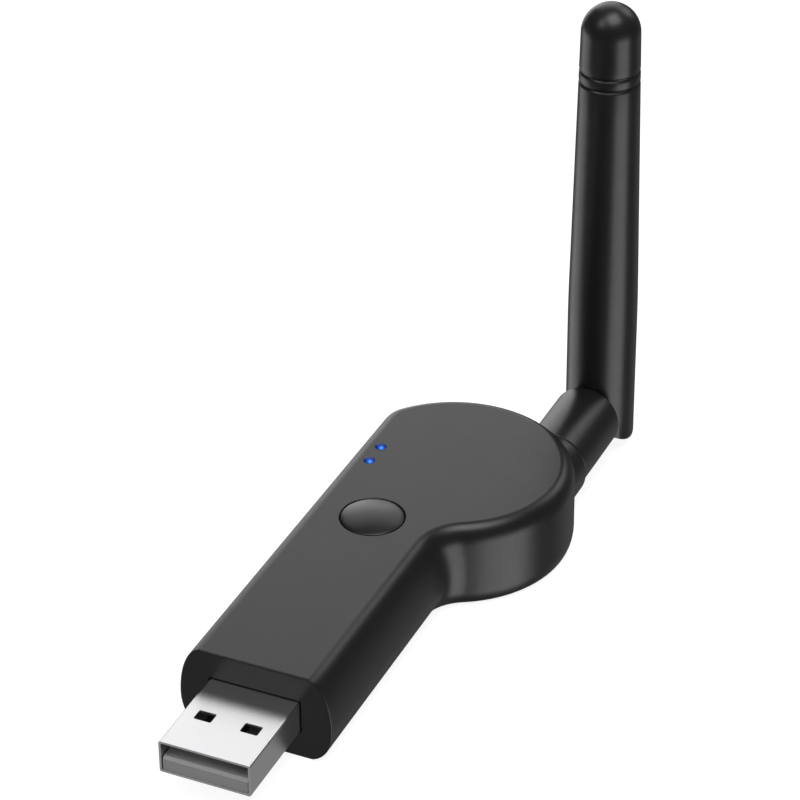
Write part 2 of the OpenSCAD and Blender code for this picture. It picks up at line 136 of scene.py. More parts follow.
# Hinge: half widths of the barrel's tongue and the whip's slot, and where each starts to round
TONGUE_HALF = 2.85
TONGUE_RISE = 1.2
SLOT_HALF = 3.4
SLOT_RISE = 2.6
COAX_BORE_R = 0.9

DISC_C = Vector((DISC_X, DISC_Y))

CONTACT_XS = (-3.5, -1.0, 1.0, 3.5)
TONGUE_TOP = 0.0
BOARD_TOP = -0.25
BOARD_H = 1.0
POST_R = 0.7
FLOOR_POST_R = 0.8
BOARD_POSTS = ((-4.4, 13), (4.4, 13), (-4.4, 27), (4.4, 27), (11.5, 42.5), (-2.5, 57.8))

# Places for pieces turned about the swivel, the hinge pin and the whip's own axis
ON_SWIVEL = Matrix.Translation((SWIVEL_X, 0, 0)) @ Matrix.Rotation(-math.pi / 2, 4, "X")
AT_PIN = Matrix.Translation((SWIVEL_X, PIN_Y, 0))
ALONG_X = Matrix.Rotation(math.pi / 2, 4, "Y")
ALONG_Y = Matrix.Rotation(-math.pi / 2, 4, "X")
# For outlines given as (y, z) and extruded along X, and as (x, z) and extruded along Y
FROM_SIDE = Matrix(((0, 0, 1, 0), (1, 0, 0, 0), (0, 1, 0, 0), (0, 0, 0, 1)))
FROM_FRONT = Matrix(((1, 0, 0, 0), (0, 0, 1, 0), (0, 1, 0, 0), (0, 0, 0, 1)))


# ---- Mesh helpers ----


def solid(name, verts, faces):
    """A mesh object with outward faces, in millimetres."""
    mesh = bpy.data.meshes.new(name)
    mesh.from_pydata([tuple(v) for v in verts], [], faces)
    bm = bmesh.new()
    bm.from_mesh(mesh)
    bmesh.ops.recalc_face_normals(bm, faces=bm.faces)
    bm.to_mesh(mesh)
    bm.free()
    obj = bpy.data.objects.new(name, mesh)
    bpy.context.scene.collection.objects.link(obj)
    return obj


def loft(name, rings, caps=True):
    """Skin over rings of equal length, closed at both ends or joined end to end."""
    n = len(rings[0])
    verts = [p for ring in rings for p in ring]
    faces = []
    spans = len(rings) - 1 if caps else len(rings)
    for i in range(spans):
        a, b = i * n, (i + 1) % len(rings) * n
        for k in range(n):
            k2 = (k + 1) % n
            faces.append((a + k, b + k, b + k2, a + k2))
    if caps:
        faces.append(tuple(range(n)))
        faces.append(tuple(reversed(range((len(rings) - 1) * n, len(rings) * n))))
    return solid(name, verts, faces)


def prism(name, outline, low, high, place=None):
    """Outline of (x, y) points extruded along Z, then placed."""
    obj = loft(name, [[(p[0], p[1], z) for p in outline] for z in (low, high)])
    if place is not None:
        obj.data.transform(place)
    return obj


def turned(name, profile, place, steps=128, ring=False):
    """Solid of revolution about Z from (radius, height) points, then placed.

    An open profile starts and ends on the axis; a ring profile is a closed loop.
    """
    verts, rows = [], []
    for radius, height in profile:
        if radius < 1e-6:
            rows.append([len(verts)] * steps)
            verts.append((0, 0, height))
            continue
        rows.append(list(range(len(verts), len(verts) + steps)))
        for k in range(steps):
            a = 2 * math.pi * k / steps
            verts.append((radius * math.cos(a), radius * math.sin(a), height))
    faces = []
    pairs = list(zip(rows, rows[1:] + rows[:1])) if ring else list(zip(rows, rows[1:]))
    for low, high in pairs:
        for k in range(steps):
            k2 = (k + 1) % steps
            corners = [low[k], low[k2], high[k2], high[k]]
            faces.append(tuple(dict.fromkeys(corners)))
    obj = solid(name, verts, [f for f in faces if len(f) > 2])
    obj.data.transform(place)
    return obj


def bake(obj):
    """Replaces the mesh by what its modifiers make of it."""
    graph = bpy.context.evaluated_depsgraph_get()
    mesh = bpy.data.meshes.new_from_object(obj.evaluated_get(graph))
    obj.modifiers.clear()
    obj.data = mesh


def combine(target, tool, operation="DIFFERENCE"):
    """Boolean of target with tool, which is used up."""
    modifier = target.modifiers.new("combine", "BOOLEAN")
    modifier.object = tool
    modifier.operation = operation
    modifier.solver = "EXACT"
    bake(target)
    bpy.data.objects.remove(tool)


def round_edges(obj, width, angle=40, segments=2):
    """Small round on every edge sharper than angle, in millimetres."""
    modifier = obj.modifiers.new("round", "BEVEL")
    modifier.width = width
    modifier.segments = segments
    modifier.limit_method = "ANGLE"
    modifier.angle_limit = math.radians(angle)
    bake(obj)


SHARP_ANGLE = 35


def done(obj, body, slot, material, *nodes):
    """Scales a finished piece to metres, shades it, and ties it to the frame."""
    obj.data.transform(Matrix.Scale(MM, 4))
    obj.data.polygons.foreach_set("use_smooth", [True] * len(obj.data.polygons))
    obj.data.set_sharp_from_angle(angle=math.radians(SHARP_ANGLE))
    weighted = obj.modifiers.new("weighted", "WEIGHTED_NORMAL")
    weighted.keep_sharp = True
    weighted.weight = 100
    obj.data.materials.clear()
    obj.data.materials.append(material)
    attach(obj, body)
    if nodes:
        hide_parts(*nodes)
    return obj


def arc(centre, radius, start, end, steps):
    """Points on an arc, from start to end in degrees."""
    points = []
    for i in range(steps + 1):
        a = math.radians(start + (end - start) * i / steps)
        points.append((centre[0] + radius * math.cos(a), centre[1] + radius * math.sin(a)))
    return points


# ---- Materials ----


def node_material(name):
    """A new material, with its node tree and its shader."""
    material = bpy.data.materials.new(name)
    material.use_nodes = True
    tree = material.node_tree
    shader = tree.nodes["Principled BSDF"]
    return material, tree, shader


def add(tree, kind, **sockets):
    """A new node with these input values; an underscore stands for a space in a name."""
    node = tree.nodes.new(kind)
    for name, value in sockets.items():
        node.inputs[name.replace("_", " ")].default_value = value
    return node


def noise(tree, scale, detail=2.0):
    """3-D noise in object space; scale is in features a metre."""
    place = tree.nodes.new("ShaderNodeTexCoord")
    texture = add(tree, "ShaderNodeTexNoise", Scale=scale, Detail=detail, Roughness=0.55)
    tree.links.new(place.outputs["Object"], texture.inputs["Vector"])
    return texture.outputs["Fac"]


def ramp(tree, factor, low, high, start=0.35, end=0.65):
    """Colour or grey that runs from low to high as factor runs from start to end."""
    node = tree.nodes.new("ShaderNodeValToRGB")
    stops = node.color_ramp.elements
    stops[0].position, stops[1].position = start, end
    for stop, value in zip(stops, (low, high)):
        rgb = value if isinstance(value, tuple) else (value,) * 3
        stop.color = (*rgb, 1)
    tree.links.new(factor, node.inputs["Fac"])
    return node.outputs["Color"]


def bump(tree, shader, height, depth):
    """Bump of the given depth in metres."""
    node = add(tree, "ShaderNodeBump", Strength=1.0, Distance=depth)
    tree.links.new(height, node.inputs["Height"])
    tree.links.new(node.outputs["Normal"], shader.inputs["Normal"])


def moulded_plastic(name, colour, rough, grain=7000, depth=0.0000012, speckle=0.08, coat=0.0):
    """Moulded plastic: a fine spark-eroded grain that varies its tone, gloss and height."""
    material, tree, shader = node_material(name)
    grains = noise(tree, grain, 3)
    dark = tuple(channel * (1 - speckle) for channel in colour)
    light = tuple(channel * (1 + speckle) for channel in colour)
    tree.links.new(ramp(tree, grains, dark, light), shader.inputs["Base Color"])
    gloss = ramp(tree, noise(tree, 400, 3), rough - 0.015, rough + 0.015)
    tree.links.new(gloss, shader.inputs["Roughness"])
    bump(tree, shader, grains, depth)
    shader.inputs["Coat Weight"].default_value = coat
    return material


def plated_metal(name, colour, rough, stretch=(1500, 1200, 1500)):
    """Plated sheet or drawn metal: an even gloss and a fine grain in its tone."""
    material, tree, shader = node_material(name)
    place = tree.nodes.new("ShaderNodeTexCoord")
    scale = tree.nodes.new("ShaderNodeMapping")
    scale.inputs["Scale"].default_value = stretch
    tree.links.new(place.outputs["Object"], scale.inputs["Vector"])
    grains = add(tree, "ShaderNodeTexNoise", Scale=1.0, Detail=3.0, Roughness=0.6)
    tree.links.new(scale.outputs["Vector"], grains.inputs["Vector"])
    dark = tuple(channel * 0.99 for channel in colour)
    light = tuple(min(channel * 1.01, 1) for channel in colour)
    tree.links.new(ramp(tree, grains.outputs["Fac"], dark, light), shader.inputs["Base Color"])
    shader.inputs["Roughness"].default_value = rough
    shader.inputs["Metallic"].default_value = 1.0
    return material


# Where the glow of each lens sits from its middle, set off towards the camera as a painted
# highlight, and the reach of its core and of its fade to dark blue, which is painted shade, in mm
PAINTED_SPOT_SHIFT = (0.3, -0.43)
GLOW_CORE, GLOW_FADE = 0.05, 0.66


def lit_lens():
    """Blue light pipe lit by its LED: each dome glows off its middle, towards the camera, as a
    painted highlight, and is dark blue round the rest as painted shade.
    """
    material, tree, shader = node_material("light_pipe_lens")
    place = tree.nodes.new("ShaderNodeTexCoord")
    split = tree.nodes.new("ShaderNodeSeparateXYZ")
    tree.links.new(place.outputs["Object"], split.inputs["Vector"])
    glow = None
    for y in LIGHT_YS:
        centre = tree.nodes.new("ShaderNodeCombineXYZ")
        centre.inputs["X"].default_value = (LIGHT_X + PAINTED_SPOT_SHIFT[0]) * MM
        centre.inputs["Y"].default_value = (y + PAINTED_SPOT_SHIFT[1]) * MM
        tree.links.new(split.outputs["Z"], centre.inputs["Z"])
        distance = tree.nodes.new("ShaderNodeVectorMath")
        distance.operation = "DISTANCE"
        tree.links.new(place.outputs["Object"], distance.inputs[0])
        tree.links.new(centre.outputs["Vector"], distance.inputs[1])
        near = add(tree, "ShaderNodeMapRange", From_Min=GLOW_CORE * MM,
                   From_Max=GLOW_FADE * MM, To_Min=1.0, To_Max=0.0)
        tree.links.new(distance.outputs["Value"], near.inputs["Value"])
        if glow is None:
            glow = near.outputs["Result"]
            continue
        more = tree.nodes.new("ShaderNodeMath")
        more.operation = "MAXIMUM"
        tree.links.new(glow, more.inputs[0])
        tree.links.new(near.outputs["Result"], more.inputs[1])
        glow = more.outputs["Value"]
    # Painted highlight and painted shade on the LED's own light: bright blue at the spot set off
    # towards the camera, dark navy round the rest
    colour = tree.nodes.new("ShaderNodeValToRGB")
    stops = colour.color_ramp.elements
    stops[0].position, stops[0].color = 0.0, (0.0, 0.006, 0.05, 1)
    stops[1].position, stops[1].color = 1.0, (0.14, 0.45, 1.0, 1)
    for position, rgb in ((0.3, (0.004, 0.035, 0.25)), (0.65, (0.014, 0.12, 0.74))):
        stop = stops.new(position)
        stop.color = (*rgb, 1)
    tree.links.new(glow, colour.inputs["Fac"])
    tree.links.new(colour.outputs["Color"], shader.inputs["Emission Color"])
    shader.inputs["Emission Strength"].default_value = 1.0
    base = ramp(tree, noise(tree, 1500), (0.004, 0.02, 0.12), (0.006, 0.03, 0.16))
    tree.links.new(base, shader.inputs["Base Color"])
    shader.inputs["Roughness"].default_value = 0.3
    shader.inputs["Specular IOR Level"].default_value = 0.06
    return material


def make_materials():
    """One material for each slot in the record."""
    black, charcoal = (0.008, 0.008, 0.0086), (0.016, 0.016, 0.017)
    along_z = (4000, 4000, 400)
    return {
        "housing_plastic": moulded_plastic("housing_plastic", black, 0.35),
        "antenna_plastic": moulded_plastic("antenna_plastic", black, 0.34, 9000),
        "button_plastic": moulded_plastic("button_plastic", black, 0.3, 9000),
        "light_pipe": lit_lens(),
        "plug_steel": plated_metal("plug_steel", (0.74, 0.74, 0.75), 0.27),
        "tongue_plastic": moulded_plastic(
            "tongue_plastic", (0.41, 0.41, 0.415), 0.3, depth=0.0000006, speckle=0.03),
        "gold_contact": plated_metal("gold_contact", (0.84, 0.6, 0.24), 0.22),
        "circuit_board": moulded_plastic(
            "circuit_board", (0.014, 0.09, 0.036), 0.3, 5000, speckle=0.2, coat=0.3),
        "chip_plastic": moulded_plastic("chip_plastic", charcoal, 0.5),
        "tinned_steel": plated_metal("tinned_steel", (0.65, 0.65, 0.66), 0.3),
        "capacitor_ceramic": moulded_plastic("capacitor_ceramic", (0.36, 0.24, 0.13), 0.4),
        "led_package": moulded_plastic("led_package", (0.75, 0.75, 0.71), 0.35),
        "cable_jacket": moulded_plastic("cable_jacket", charcoal, 0.38, 6000),
        "ring_rubber": moulded_plastic("ring_rubber", charcoal, 0.75),
        "pin_steel": plated_metal("pin_steel", (0.55, 0.55, 0.56), 0.25),
        "radiator_brass": plated_metal("radiator_brass", (0.67, 0.47, 0.18), 0.28, along_z),
        "radiator_copper": plated_metal("radiator_copper", (0.73, 0.37, 0.21), 0.26, along_z),
    }


# ---- Body ----


def outline(inset, front=0.0, edge=0.0, pad_inset=None):
    """The body's outline seen from above, moved inwards, as (x, y) points.

    It runs from the front right corner round the pad to the front left corner. The pad may
    have an inset of its own; the neck and the back corner stay tangent to bar and pad.
    """
    x = HALF_W - inset
    pad_r = DISC_R - (inset if pad_inset is None else pad_inset)
    neck_r = NECK_R + inset
    corner_r = CORNER_R - inset
    across = x + neck_r - DISC_X
    to_neck = Vector((across, -math.sqrt((pad_r + neck_r) ** 2 - across**2)))
    across = corner_r - x - DISC_X
    to_corner = Vector((across, math.sqrt((pad_r - corner_r) ** 2 - across**2)))
    neck, corner = DISC_C + to_neck, DISC_C + to_corner
    neck_dir = math.degrees(math.atan2(to_neck.y, to_neck.x))
    back_dir = math.degrees(math.atan2(to_corner.y, to_corner.x))
    foot = front + edge
    straight = 10
    points = arc((x - edge, foot), edge, -90, 0, 4) if edge else [(x, front)]
    points += [(x, foot + (neck.y - foot) * i / straight) for i in range(1, straight)]
    points += arc(neck, neck_r, 180, neck_dir + 180, 12)
    points += arc(DISC_C, pad_r, neck_dir, back_dir, 56)[1:]
    points += arc(corner, corner_r, back_dir, 180, 10)[1:]
    points += [(-x, corner.y + (foot - corner.y) * i / straight) for i in range(1, straight)]
    points += arc((edge - x, foot), edge, 180, 270, 4) if edge else [(-x, front)]
    return points


def rounded_rect(width, height, radius, steps=8):
    """Outline of a rectangle round the origin with rounded corners."""
    points = []
    for sx, sy, start in ((1, 1, 0), (-1, 1, 90), (-1, -1, 180), (1, -1, 270)):
        centre = (sx * (width / 2 - radius), sy * (height / 2 - radius))
        points += arc(centre, radius, start, start + 90, steps)
    return points


def crowned_skin():
    """Outer form: the bar's side is a quarter ellipse above and below its widest level, and
    the pad has an upright wall with rounded edges.
    """
    steps = 40
    rings = []
    for i in range(-steps, steps + 1):
        t = math.pi / 2 * i / steps
        insets = ROOF_INSETS if t > 0 else FLOOR_INSETS
        reach = HALF_H - WIDEST_Z if t > 0 else HALF_H + WIDEST_Z
        z = WIDEST_Z + reach * math.sin(t)
        bar = insets[0] * (1 - math.cos(t))
        into_round = max(0.0, (abs(z) - HALF_H + PAD_ROUND_H) / PAD_ROUND_H)
        pad = insets[1] * (1 - math.sqrt(max(0.0, 1 - into_round**2)))
        into_edge = max(0.0, (abs(z) - (HALF_H - FRONT_EDGE_R)) / FRONT_EDGE_R)
        front = FRONT_EDGE_R * (1 - math.sqrt(max(0.0, 1 - into_edge**2)))
        rings.append([(x, y, z) for x, y in outline(bar, front, FRONT_EDGE_R, pad)])
    return loft("housing_shell", rings)


def swivel_ring(name, r_low, r_high, y_low, y_high):
    """Cylinder, or ring where r_low isn't 0, about the swivel's axis."""
    profile = [(r_low, y_low), (r_high, y_low), (r_high, y_high), (r_low, y_high)]
    if r_low == 0:
        return turned(name, profile, ON_SWIVEL, 96)
    return turned(name, profile, ON_SWIVEL, 96, ring=True)


def make_housing(material):
    """Upper shell with the antenna's collar, hollow and open below for the cover."""
    obj = crowned_skin()
    end_r = 0.6
    collar_l = 9
    collar = [(0, SEAM_Y - collar_l), (COLLAR_R, SEAM_Y - collar_l)]
    collar += arc((COLLAR_R - end_r, SEAM_Y - end_r), end_r, 0, 90, 8)
    collar.append((0, SEAM_Y))
    combine(obj, turned("collar", collar, ON_SWIVEL), "UNION")
    round_edges(obj, 0.2, 45, 3)
    # Room for the board, the cover and the plug
    combine(obj, prism("cavity", outline(CAVITY_INSET, FRONT_WALL), -ROOF_Z, ROOF_Z))
    opening = outline(COVER_INSET - COVER_GAP, COVER_FRONT - COVER_GAP)
    combine(obj, prism("opening", opening, -HALF_H - PAST, -HALF_H + COVER_PLATE_H))
    step = outline(LIP_INSET - COVER_GAP, LIP_FRONT - COVER_GAP)
    combine(obj, prism("step", step, -HALF_H, 0))
    clearance = 0.16
    slot_r = 0.45
    slot_w, slot_h = (2 * half + 2 * clearance for half in (SHELL_HI.x, SHELL_HI.z))
    slot = rounded_rect(slot_w, slot_h, slot_r)
    combine(obj, prism("slot", slot, -PAST, FRONT_WALL + PAST, ALONG_Y))
    # Holes for the button, with a rounded rim, and for the lights
    rim_r = 0.15
    hole = [(0, 0), (BUTTON_HOLE_R, 0)]
    hole += arc((BUTTON_HOLE_R + rim_r, HALF_H - rim_r), rim_r, 180, 90, 6)
    hole += [(BUTTON_HOLE_R + rim_r, HALF_H + PAST), (0, HALF_H + PAST)]
    combine(obj, turned("hole", hole, Matrix.Translation((0, BUTTON_Y, 0))))
    hole_r = LIGHT_R + 0.03
    for y in LIGHT_YS:
        hole = [(0, 0), (hole_r, 0), (hole_r, HALF_H + PAST), (0, HALF_H + PAST)]
        combine(obj, turned("hole", hole, Matrix.Translation((LIGHT_X, y, 0)), 48))
    # The swivel's bearing: bore, pocket for its clip, seat for the friction ring, and clearance
    # round the barrel
    bore_r = JOURNAL_R + 0.05
    pocket_r, pocket_start, pocket_end = 4.2, SEAM_Y - 8.4, SEAM_Y - 3.4
    seat_r, seat_start = 4.0, SEAM_Y - 0.8
    room_r, room_end = BARREL_R + 0.3, SEAM_Y + 8
    combine(obj, swivel_ring("bore", 0, bore_r, SEAM_Y - collar_l - PAST, room_end))
    combine(obj, swivel_ring("pocket", 0, pocket_r, pocket_start, pocket_end))
    combine(obj, swivel_ring("seat", 0, seat_r, seat_start, SEAM_Y + 0.01))
    combine(obj, swivel_ring("relief", 0, room_r, SEAM_Y, room_end))
    for x, y in BOARD_POSTS:
        post = prism("post", arc((x, y), POST_R, 0, 345, 23), BOARD_TOP, ROOF_Z + 0.2)
        combine(obj, post, "UNION")
    return done(obj, "adapter_body", "housing_plastic", material, "housing")


def make_bottom_cover(material):
    """Snap-in plate with a raised lip and the posts that the board stands on."""
    plate = outline(COVER_INSET, COVER_FRONT)
    obj = prism("floor_cover", plate, -HALF_H, -HALF_H + COVER_PLATE_H - 0.05)
    round_edges(obj, 0.12)
    in_plate = -HALF_H + 0.3
    lip = prism("lip", outline(LIP_INSET, LIP_FRONT), in_plate, -HALF_H + WALL + 0.5)
    inner = outline(LIP_INSET + LIP_WALL, LIP_FRONT + LIP_WALL)
    combine(lip, prism("inner", inner, -HALF_H + WALL - 0.1, -HALF_H + WALL + PAST))
    combine(obj, lip, "UNION")
    for x, y in BOARD_POSTS:
        foot = arc((x, y), FLOOR_POST_R, 0, 345, 23)
        combine(obj, prism("post", foot, in_plate, BOARD_TOP - BOARD_H), "UNION")
    return done(obj, "adapter_body", "housing_plastic", material, "bottom_cover")


def make_button(material):
    """Domed cap with a flange under the roof and a hub that rests on the switch."""
    top, low = CAP_HI.z, CAP_LO.z
    edge_r = 0.12
    hub_r, step = 1.5, 0.1
    crown = top - HALF_H
    dome_r = (BUTTON_R**2 + crown**2) / (2 * crown)
    flange_r = (CAP_HI.x - CAP_LO.x) / 2
    profile = [(0, low), (hub_r, low), (hub_r, low + step), (flange_r, low + step)]
    profile += [(flange_r, ROOF_Z - step), (BUTTON_R, ROOF_Z - step)]
    profile += arc((BUTTON_R - edge_r, HALF_H - edge_r), edge_r, 0, 72, 6)
    rings = 24
    for i in range(rings - 1, -1, -1):
        r = (BUTTON_R - edge_r) * i / rings
        profile.append((r, top - dome_r + math.sqrt(dome_r**2 - r**2)))
    obj = turned("push_button", profile, Matrix.Translation((0, BUTTON_Y, 0)))
    return done(obj, "button", "button_plastic", material, "button_cap")


def make_light_pipe(material):
    """Two domed pins that show in the roof, joined by a bar under it."""
    parts = []
    top, foot = PIPE_HI.z, PIPE_LO.z
    gap = 0.02
    dome_steps = 12
    for y in LIGHT_YS:
        profile = [(0, foot), (LIGHT_FOOT_R, foot), (LIGHT_FOOT_R, ROOF_Z - gap)]
        profile += [(LIGHT_R, ROOF_Z - gap), (LIGHT_R, HALF_H - gap)]
        rise = top - HALF_H + gap
        for i in range(1, dome_steps + 1):
            a = math.pi / 2 * i / dome_steps
            profile.append((LIGHT_R * math.cos(a), HALF_H - gap + rise * math.sin(a)))
        parts.append(turned("pipe", profile, Matrix.Translation((LIGHT_X, y, 0)), 64))
    half, bridge_h = 0.5, 0.8
    bridge = [(LIGHT_X - half, LIGHT_YS[0]), (LIGHT_X + half, LIGHT_YS[0]),
              (LIGHT_X + half, LIGHT_YS[1]), (LIGHT_X - half, LIGHT_YS[1])]
    obj = prism("light_guide", bridge, ROOF_Z - gap - bridge_h, ROOF_Z - gap)
    for part in parts:
        combine(obj, part, "UNION")
    return done(obj, "adapter_body", "light_pipe", material, "light_pipe")


# ---- USB plug ----


def make_usb_shell(material):
    """Folded sheet tube with two latch windows above, two below, and its solder legs."""
    width, height = SHELL_HI.x * 2, SHELL_HI.z * 2
    sheet = 0.3
    front, back = SHELL_LO.y, 5.0
    corner, inner_corner = 0.32, 0.15

    def ring(inset, y):
        """Section of the tube at y, this far in from its outside."""
        radius = corner + (inner_corner - corner) * inset / sheet
        points = rounded_rect(width - 2 * inset, height - 2 * inset, radius)
        return [(x, y, z) for x, z in points]

    rings = [ring(0, back), ring(0, front), ring(sheet, front), ring(sheet, back)]
    obj = loft("plug_shell", rings, caps=False)
    latch_x, latch_y = 3.05, -6.9
    latch_w, latch_l, latch_r = 2.3, 1.75, 0.22
    latch = rounded_rect(latch_w, latch_l, latch_r, 5)
    for x in (-latch_x, latch_x):
        place = Matrix.Translation((x, latch_y, 0))
        combine(obj, prism("latch", latch, -height, height, place))
    # Folded seam along the underside
    half, depth = 0.03, 0.12
    seam = [(-half, front - PAST), (half, front - PAST), (half, back + PAST), (-half, back + PAST)]
    combine(obj, prism("seam", seam, -height / 2 - PAST, -height / 2 + depth))
    # Solder legs beside the board
    leg_low, leg_high = -1.6, 0.6
    for x in (-width / 2, width / 2 - sheet):
        leg = [(x, back - 0.01), (x + sheet, back - 0.01), (x + sheet, SHELL_HI.y), (x, SHELL_HI.y)]
        combine(obj, prism("leg", leg, leg_low, leg_high), "UNION")
    return done(obj, "adapter_body", "plug_steel", material, "usb_shell")


def make_usb_tongue(material):
    """Insulator: a slab with a small lead-in along its front edge, and the block behind it."""
    low, high = box_mm("usb_tongue")
    step_y = 0.8
    top = TONGUE_TOP
    lead_in = 0.35
    side = [(low.y, low.z), (high.y, low.z), (high.y, high.z), (step_y, high.z),
            (step_y, top), (low.y + lead_in, top), (low.y, top - lead_in)]
    obj = prism("plug_tongue", side, low.x, high.x, FROM_SIDE)
    half, end, depth = 0.5, 9, 0.2
    for x in CONTACT_XS:
        start = step_y - PAST
        strip = [(x - half, start), (x + half, start), (x + half, end), (x - half, end)]
        combine(obj, prism("groove", strip, top, top + depth))
    round_edges(obj, 0.05, 30)
    return done(obj, "adapter_body", "tongue_plastic", material, "usb_tongue")


# ---- Antenna ----


def racetrack(half, rise):
    """Outline with two straight sides and round ends, centred rise above and below."""
    steps = 36
    return arc((0, rise), half, 0, 180, steps) + arc((0, -rise), half, 180, 360, steps)


def make_barrel(material):
    """Swivel barrel: journal with its clip groove, body, and the tongue the whip hinges on."""
    chamfer, edge_r = 0.15, 0.4
    start = BARREL_LO.y
    seam = SEAM_Y + SEAM_GAP
    profile = [(0, start), (JOURNAL_R - 0.2, start), (JOURNAL_R, start + 0.2)]
    clip_r, clip_y, clip_w = 2.7, 58.6, 0.6
    profile += [(JOURNAL_R, clip_y), (clip_r, clip_y)]
    profile += [(clip_r, clip_y + clip_w), (JOURNAL_R, clip_y + clip_w)]
    profile += [(JOURNAL_R, seam), (BARREL_R - chamfer, seam), (BARREL_R, seam + chamfer)]
    profile.append((BARREL_R, (seam + SHOULDER_Y) / 2))
    profile += arc((BARREL_R - edge_r, SHOULDER_Y - edge_r), edge_r, 0, 90, 10)
    profile.append((0, SHOULDER_Y))
    obj = turned("swivel_barrel", profile, ON_SWIVEL, 160)
    track = racetrack(TONGUE_HALF, TONGUE_RISE)
    to_pin = AT_PIN @ ALONG_Y
    combine(obj, prism("tongue", track, -PIN_GAP - PAST, 0.001, to_pin), "UNION")
    # The tongue's end is the same section turned about the pin
    end = [(r, -x) for x, r in arc((0, TONGUE_RISE), TONGUE_HALF, 0, 180, 36)]
    end = [(0, end[0][1])] + end + [(0, end[-1][1])]
    combine(obj, turned("tongue_end", end, AT_PIN @ ALONG_X, 96), "UNION")
    # The lead's way through: a bore up to the pin, and a slot over it
    combine(obj, swivel_ring("lead_bore", 0, COAX_BORE_R, start - PAST, PIN_Y - PIN_R - 0.5))
    half, low, high = COAX_BORE_R, -PIN_R - 1.4, 6
    slot = [(-half, low), (half, low), (half, high), (-half, high)]
    combine(obj, prism("lead_slot", slot, 0, 9, AT_PIN))
    pin_hole = [(0, -9), (PIN_R + 0.04, -9), (PIN_R + 0.04, 9), (0, 9)]
    combine(obj, turned("pin_hole", pin_hole, AT_PIN @ ALONG_X, 64))
    return done(obj, "swivel", "antenna_plastic", material, "antenna_barrel")


def whip_radius(z):
    """Radius of the whip's side at this height above the pin."""
    if z < KNEE_Z:
        return WHIP_R
    return WHIP_R + (TIP_R - WHIP_R) * (z - KNEE_Z) / (DOME_Z - KNEE_Z)


def groove(z, start, end, steps=8):
    """Groove with soft shoulders in the whip's side, from start to end of its width (-1 to 1)."""
    points = []
    for i in range(steps + 1):
        u = start + (end - start) * i / steps
        depth = GROOVE_DEPTH * math.cos(math.pi / 2 * u) ** 2
        points.append((whip_radius(z + GROOVE_W / 2 * u) - depth, z + GROOVE_W / 2 * u))
    return points


def make_sleeve(material):
    """Whip up to the tip's seam: tapered tube with a fork that straddles the tongue."""
    profile = [(0, -WHIP_R), (WHIP_R, -WHIP_R)]
    profile += [(WHIP_R, -WHIP_R + (KNEE_Z + WHIP_R) * i / 6) for i in range(1, 6)]
    # The taper starts softly
    blend = 3.0
    slope = (WHIP_R - TIP_R) / (DOME_Z - KNEE_Z)
    for i in range(9):
        u = i / 8
        z = KNEE_Z - blend + 2 * blend * u
        profile.append((WHIP_R - slope * blend * u * u, z))
    for i in range(1, 8):
        z = KNEE_Z + blend + (TIP_SEAM_Z - GROOVE_W / 2 - KNEE_Z - blend) * i / 8
        profile.append((whip_radius(z), z))
    profile += groove(TIP_SEAM_Z, -1, 0, 8)
    profile.append((0, TIP_SEAM_Z))
    obj = turned("whip_sleeve", profile, AT_PIN, 192)
    # Ears round off about the pin
    reach = WHIP_R + 2
    below = [(-reach, 0)] + arc((0, 0), WHIP_R, 180, 360, 64) + [(reach, 0)]
    below += [(reach, -reach), (-reach, -reach)]
    combine(obj, prism("below", below, -reach, reach, AT_PIN @ FROM_SIDE))
    # Fork slot with a round top, open below
    slot = arc((0, SLOT_RISE), SLOT_HALF, 0, 180, 48) + [(-SLOT_HALF, -9), (SLOT_HALF, -9)]
    combine(obj, prism("fork", slot, -reach, reach, AT_PIN @ FROM_FRONT))
    bore = [(0, 0), (COAX_BORE_R, 0), (COAX_BORE_R, WHIP_BORE_Z), (WHIP_BORE_R, WHIP_BORE_Z),
            (WHIP_BORE_R, TIP_SEAM_Z + PAST), (0, TIP_SEAM_Z + PAST)]
    combine(obj, turned("bore", bore, AT_PIN, 64))
    # The pin's hole is blind: its far end stops short of the whip's side
    hole_end = WHIP_R - 0.8
    pin_hole = [(0, -9), (PIN_R, -9), (PIN_R, hole_end), (0, hole_end)]
    combine(obj, turned("pin_hole", pin_hole, AT_PIN @ ALONG_X, 64))
    round_edges(obj, 0.12, 45)
    return done(obj, "whip", "antenna_plastic", material, "antenna_sleeve")


def make_tip(material):
    """Domed end cap with a spigot in the whip's bore and a second groove."""
    spigot_r, spigot_l, chamfer = WHIP_BORE_R - 0.03, 4, 0.3
    foot = TIP_SEAM_Z - spigot_l
    profile = [(0, foot), (spigot_r - chamfer, foot), (spigot_r, foot + chamfer)]
    profile += [(spigot_r, TIP_SEAM_Z + 0.02)]
    profile += groove(TIP_SEAM_Z, 0.06, 1, 8)
    profile.append((whip_radius(TIP_SEAM_Z + 0.8), TIP_SEAM_Z + 0.8))
    profile += groove(GROOVE_Z, -1, 1, 16)
    for i in range(1, 5):
        z = GROOVE_Z + GROOVE_W / 2 + (DOME_Z - GROOVE_Z - GROOVE_W / 2) * i / 5
        profile.append((whip_radius(z), z))
    profile += arc((0, DOME_Z), TIP_R, 0, 90, 32)[:-1]
    profile.append((0, DOME_Z + TIP_R))
    obj = turned("whip_tip", profile, AT_PIN, 192)
    return done(obj, "whip", "antenna_plastic", material, "antenna_tip")


# ---- Camera, light and stage ----


# The camera's direction: from straight ahead of the plug, above the horizon, and its roll
VIEW_SIDE, VIEW_ELEVATION, VIEW_ROLL = (math.radians(a) for a in (24.5, 32.3, -0.55))
TO_CAMERA = Vector((
    math.sin(VIEW_SIDE) * math.cos(VIEW_ELEVATION),
    -math.cos(VIEW_SIDE) * math.cos(VIEW_ELEVATION),
    math.sin(VIEW_ELEVATION),
))
